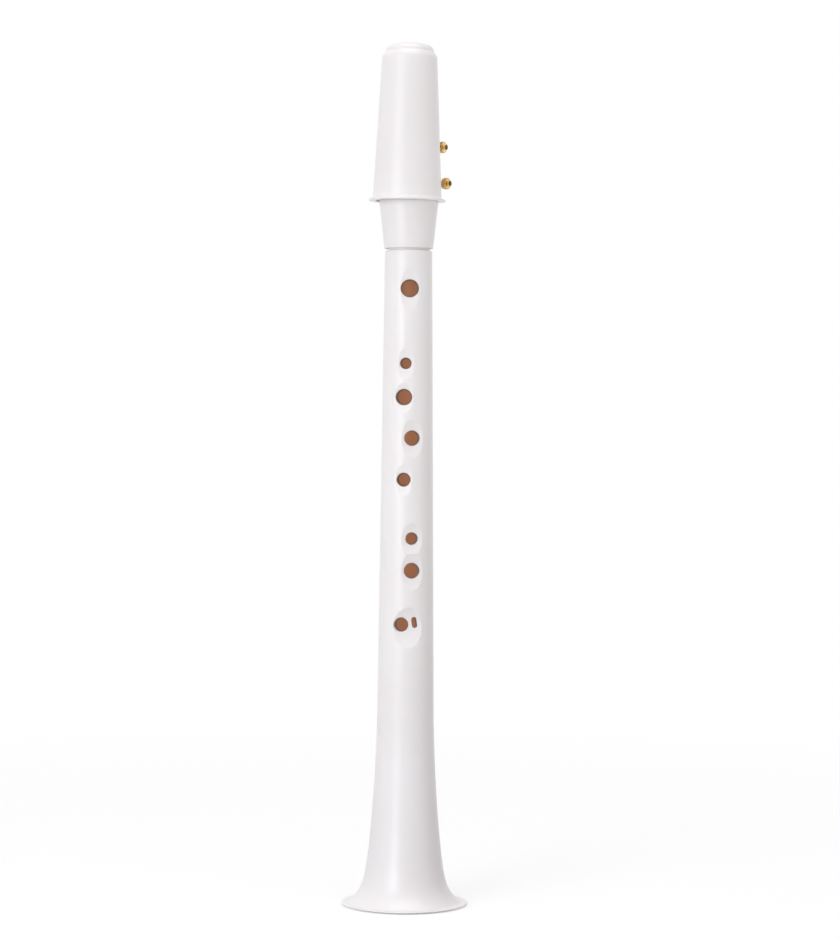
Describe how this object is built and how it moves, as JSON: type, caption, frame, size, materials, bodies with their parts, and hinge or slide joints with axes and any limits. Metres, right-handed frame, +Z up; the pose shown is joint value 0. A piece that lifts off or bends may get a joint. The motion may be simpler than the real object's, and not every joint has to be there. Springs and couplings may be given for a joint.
{
  "type": "pocket saxophone",
  "caption": "Pocket saxophone: a white plastic tube with finger holes and a small bell, topped by a capped reed mouthpiece with a gold ligature.",
  "frame": {"origin": "centre of the bell's foot, on the surface that the instrument stands on", "axes": "+Z up along the tube toward the mouthpiece; -Y is the front, where the finger holes are; +X is to the right of someone who faces the finger holes"},
  "size_m": [0.046, 0.046, 0.3132],
  "materials": {
    "white_abs": "gloss",
    "gold_plate": "polished, gold plated",
    "cane": "natural, unvarnished",
    "seal_rubber": "matte"
  },
  "bodies": {
    "tube": {"body_tube": "white_abs"},
    "tenon_rings": {"tenon_ring_1": "seal_rubber", "tenon_ring_2": "seal_rubber"},
    "mouthpiece": {"mouthpiece": "white_abs"},
    "reed": {"reed": "cane"},
    "ligature": {"ligature_band": "gold_plate", "ligature_post_upper_plain": "gold_plate", "ligature_post_upper_threaded": "gold_plate", "ligature_post_lower_plain": "gold_plate", "ligature_post_lower_threaded": "gold_plate"},
    "screw_upper": {"ligature_screw_upper": "gold_plate"},
    "screw_lower": {"ligature_screw_lower": "gold_plate"},
    "cap": {"mouthpiece_cap": "white_abs"}
  },
  "joints": [
    {"name": "mouthpiece_twist", "type": "hinge", "parent": "tube", "child": "tenon_rings", "pos_m": [0, 0, 0.24335], "axis": [0, 0, 1], "continuous": true},
    {"name": "mouthpiece_slide", "type": "slide", "parent": "tenon_rings", "child": "mouthpiece", "axis": [0, 0, 1], "range_m": [-0.0005, 0.0115]},
    {"name": "reed_slide", "type": "slide", "parent": "mouthpiece", "child": "reed", "axis": [0, 0, 1], "range_m": [-0.0005, 0.0005]},
    {"name": "ligature_slide", "type": "slide", "parent": "mouthpiece", "child": "ligature", "axis": [0, 0, 1], "range_m": [0, 0.05]},
    {"name": "cap_slide", "type": "slide", "parent": "ligature", "child": "cap", "axis": [0, 0, 1], "range_m": [0, 0.055]},
    {"name": "screw_upper_turn", "type": "hinge", "parent": "ligature", "child": "screw_upper", "pos_m": [0.0065, 0.01126, 0.27665], "axis": [0.866, -0.5, 0], "continuous": true},
    {"name": "screw_lower_turn", "type": "hinge", "parent": "ligature", "child": "screw_lower", "pos_m": [0.0065, 0.01126, 0.26335], "axis": [0.866, -0.5, 0], "continuous": true}
  ]
}
